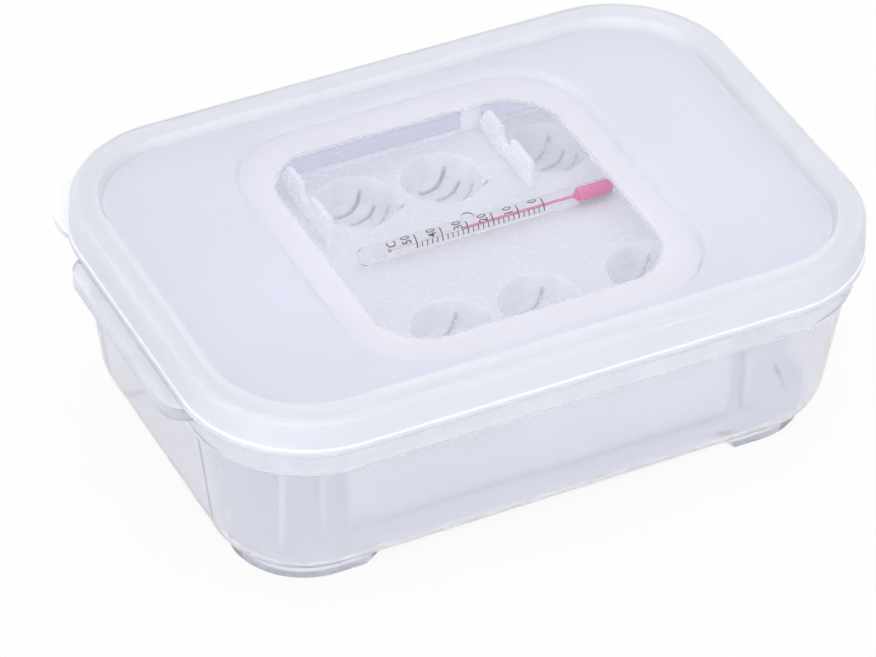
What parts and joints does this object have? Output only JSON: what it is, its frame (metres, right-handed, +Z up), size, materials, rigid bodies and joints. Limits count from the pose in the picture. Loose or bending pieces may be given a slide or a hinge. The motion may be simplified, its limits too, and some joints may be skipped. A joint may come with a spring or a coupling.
{
  "type": "reptile hatching box",
  "caption": "Low clear plastic box with a push-on windowed lid, an egg tray of vented round cups on slotted legs, and a glass thermometer lying on the tray.",
  "frame": {"origin": "on the ground under the centre of the box", "axes": "+X along the box, +Y to the back, where the lid's pull tab is at the left corner, +Z up"},
  "size_m": [0.165, 0.11, 0.052],
  "materials": {
    "box_plastic": "lightly frosted, see-through",
    "lid_plastic": "frosted, with a polished clear pane in the middle",
    "tray_plastic": "satin, milky",
    "glass": "clear",
    "spirit": "red liquid"
  },
  "bodies": {
    "box": {"box": "box_plastic"},
    "lid": {"lid": "lid_plastic"},
    "egg_tray": {"egg_tray": "tray_plastic"},
    "thermometer": {"thermometer_tube": "glass", "thermometer_spirit": "spirit"}
  },
  "joints": [
    {"name": "lid_lift", "type": "slide", "parent": "box", "child": "lid", "axis": [0, 0, 1], "range_m": [0, 0.08]},
    {"name": "tray_lift", "type": "slide", "parent": "box", "child": "egg_tray", "axis": [0, 0, 1], "range_m": [0, 0.042]},
    {"name": "thermometer_lift", "type": "slide", "parent": "egg_tray", "child": "thermometer", "axis": [0, 0, 1], "range_m": [0, 0.017]}
  ],
  "couplings": [
    {"joint": "tray_lift", "follows": "lid_lift", "ratio": 0.5},
    {"joint": "thermometer_lift", "follows": "lid_lift", "ratio": 0.2}
  ]
}
